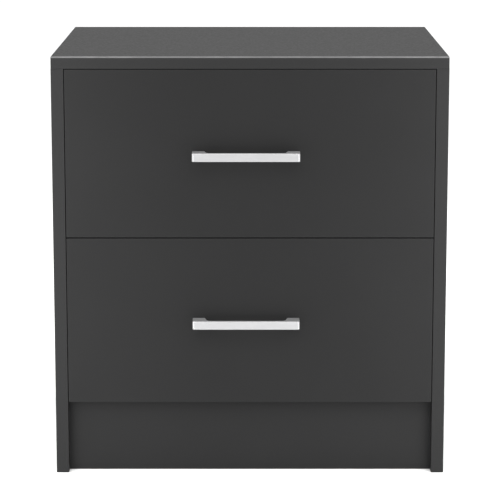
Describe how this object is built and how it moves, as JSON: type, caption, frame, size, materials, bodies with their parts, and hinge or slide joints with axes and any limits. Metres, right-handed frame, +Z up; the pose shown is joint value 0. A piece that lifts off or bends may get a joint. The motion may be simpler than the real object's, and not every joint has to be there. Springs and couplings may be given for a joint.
{
  "type": "nightstand",
  "caption": "Bedside cabinet with two inset drawers on roller runners, a bow handle on each front, an overlaying top board and a recessed plinth.",
  "frame": {"origin": "on the floor, at the centre of the overall box in plan, handles included", "axes": "+Z up, drawers face -Y, +X to the right for someone facing the drawers"},
  "size_m": [0.5, 0.422, 0.54],
  "materials": {
    "melamine": "matt anthracite melamine on particleboard",
    "edge_band": "matt anthracite edging",
    "drawer_board": "light grey foil",
    "hardboard": "light grey lacquered hardboard",
    "handle_chrome": "satin chrome",
    "runner_steel": "white powder coat",
    "nylon": "off-white nylon",
    "beech": "raw beech",
    "zinc_fittings": "zinc plated"
  },
  "bodies": {
    "carcass": {"back_nails": "zinc_fittings", "back_panel": "hardboard", "bottom_edge_band": "edge_band", "bottom_panel": "melamine", "cabinet_roller_axles": "zinc_fittings", "cabinet_runner_screws": "zinc_fittings", "carcass_bolts": "zinc_fittings", "carcass_cams": "zinc_fittings", "carcass_dowels": "beech", "left_side_edge_band": "edge_band", "left_side_panel": "melamine", "lower_left_cabinet_runner": "runner_steel", "lower_right_cabinet_runner": "runner_steel", "plinth_board": "melamine", "right_side_edge_band": "edge_band", "right_side_panel": "melamine", "top_edge_band": "edge_band", "top_panel": "melamine", "upper_left_cabinet_runner": "runner_steel", "upper_right_cabinet_runner": "runner_steel"},
    "upper_drawer": {"upper_drawer_back": "drawer_board", "upper_drawer_back_screws": "zinc_fittings", "upper_drawer_bolts": "zinc_fittings", "upper_drawer_bottom": "hardboard", "upper_drawer_cams": "zinc_fittings", "upper_drawer_front": "melamine", "upper_drawer_left_side": "drawer_board", "upper_drawer_right_side": "drawer_board", "upper_drawer_roller_axles": "zinc_fittings", "upper_drawer_runner_screws": "zinc_fittings", "upper_front_edge_band": "edge_band", "upper_handle": "handle_chrome", "upper_handle_screws": "zinc_fittings", "upper_left_drawer_runner": "runner_steel", "upper_right_drawer_runner": "runner_steel"},
    "lower_drawer": {"lower_drawer_back": "drawer_board", "lower_drawer_back_screws": "zinc_fittings", "lower_drawer_bolts": "zinc_fittings", "lower_drawer_bottom": "hardboard", "lower_drawer_cams": "zinc_fittings", "lower_drawer_front": "melamine", "lower_drawer_left_side": "drawer_board", "lower_drawer_right_side": "drawer_board", "lower_drawer_roller_axles": "zinc_fittings", "lower_drawer_runner_screws": "zinc_fittings", "lower_front_edge_band": "edge_band", "lower_handle": "handle_chrome", "lower_handle_screws": "zinc_fittings", "lower_left_drawer_runner": "runner_steel", "lower_right_drawer_runner": "runner_steel"},
    "upper_left_front_roller": {"upper_left_front_roller": "nylon"},
    "upper_left_rear_roller": {"upper_left_rear_roller": "nylon"},
    "upper_right_front_roller": {"upper_right_front_roller": "nylon"},
    "upper_right_rear_roller": {"upper_right_rear_roller": "nylon"},
    "lower_left_front_roller": {"lower_left_front_roller": "nylon"},
    "lower_left_rear_roller": {"lower_left_rear_roller": "nylon"},
    "lower_right_front_roller": {"lower_right_front_roller": "nylon"},
    "lower_right_rear_roller": {"lower_right_rear_roller": "nylon"}
  },
  "joints": [
    {"name": "upper_drawer_slide", "type": "slide", "parent": "carcass", "child": "upper_drawer", "axis": [0, -1, 0], "range_m": [0, 0.26]},
    {"name": "lower_drawer_slide", "type": "slide", "parent": "carcass", "child": "lower_drawer", "axis": [0, -1, 0], "range_m": [0, 0.26]},
    {"name": "upper_left_front_roller_turn", "type": "hinge", "parent": "carcass", "child": "upper_left_front_roller", "pos_m": [-0.2283, -0.159, 0.35155], "axis": [1, 0, 0], "continuous": true},
    {"name": "upper_left_rear_roller_turn", "type": "hinge", "parent": "upper_drawer", "child": "upper_left_rear_roller", "pos_m": [-0.2272, 0.165, 0.35155], "axis": [1, 0, 0], "continuous": true},
    {"name": "upper_right_front_roller_turn", "type": "hinge", "parent": "carcass", "child": "upper_right_front_roller", "pos_m": [0.2283, -0.159, 0.35155], "axis": [1, 0, 0], "continuous": true},
    {"name": "upper_right_rear_roller_turn", "type": "hinge", "parent": "upper_drawer", "child": "upper_right_rear_roller", "pos_m": [0.2272, 0.165, 0.35155], "axis": [1, 0, 0], "continuous": true},
    {"name": "lower_left_front_roller_turn", "type": "hinge", "parent": "carcass", "child": "lower_left_front_roller", "pos_m": [-0.2283, -0.159, 0.1363], "axis": [1, 0, 0], "continuous": true},
    {"name": "lower_left_rear_roller_turn", "type": "hinge", "parent": "lower_drawer", "child": "lower_left_rear_roller", "pos_m": [-0.2272, 0.165, 0.1363], "axis": [1, 0, 0], "continuous": true},
    {"name": "lower_right_front_roller_turn", "type": "hinge", "parent": "carcass", "child": "lower_right_front_roller", "pos_m": [0.2283, -0.159, 0.1363], "axis": [1, 0, 0], "continuous": true},
    {"name": "lower_right_rear_roller_turn", "type": "hinge", "parent": "lower_drawer", "child": "lower_right_rear_roller", "pos_m": [0.2272, 0.165, 0.1363], "axis": [1, 0, 0], "continuous": true}
  ],
  "couplings": [
    {"joint": "upper_left_front_roller_turn", "follows": "upper_drawer_slide", "rad_per_m": 117.65},
    {"joint": "upper_left_rear_roller_turn", "follows": "upper_drawer_slide", "rad_per_m": 117.65},
    {"joint": "upper_right_front_roller_turn", "follows": "upper_drawer_slide", "rad_per_m": 117.65},
    {"joint": "upper_right_rear_roller_turn", "follows": "upper_drawer_slide", "rad_per_m": 117.65},
    {"joint": "lower_left_front_roller_turn", "follows": "lower_drawer_slide", "rad_per_m": 117.65},
    {"joint": "lower_left_rear_roller_turn", "follows": "lower_drawer_slide", "rad_per_m": 117.65},
    {"joint": "lower_right_front_roller_turn", "follows": "lower_drawer_slide", "rad_per_m": 117.65},
    {"joint": "lower_right_rear_roller_turn", "follows": "lower_drawer_slide", "rad_per_m": 117.65}
  ]
}
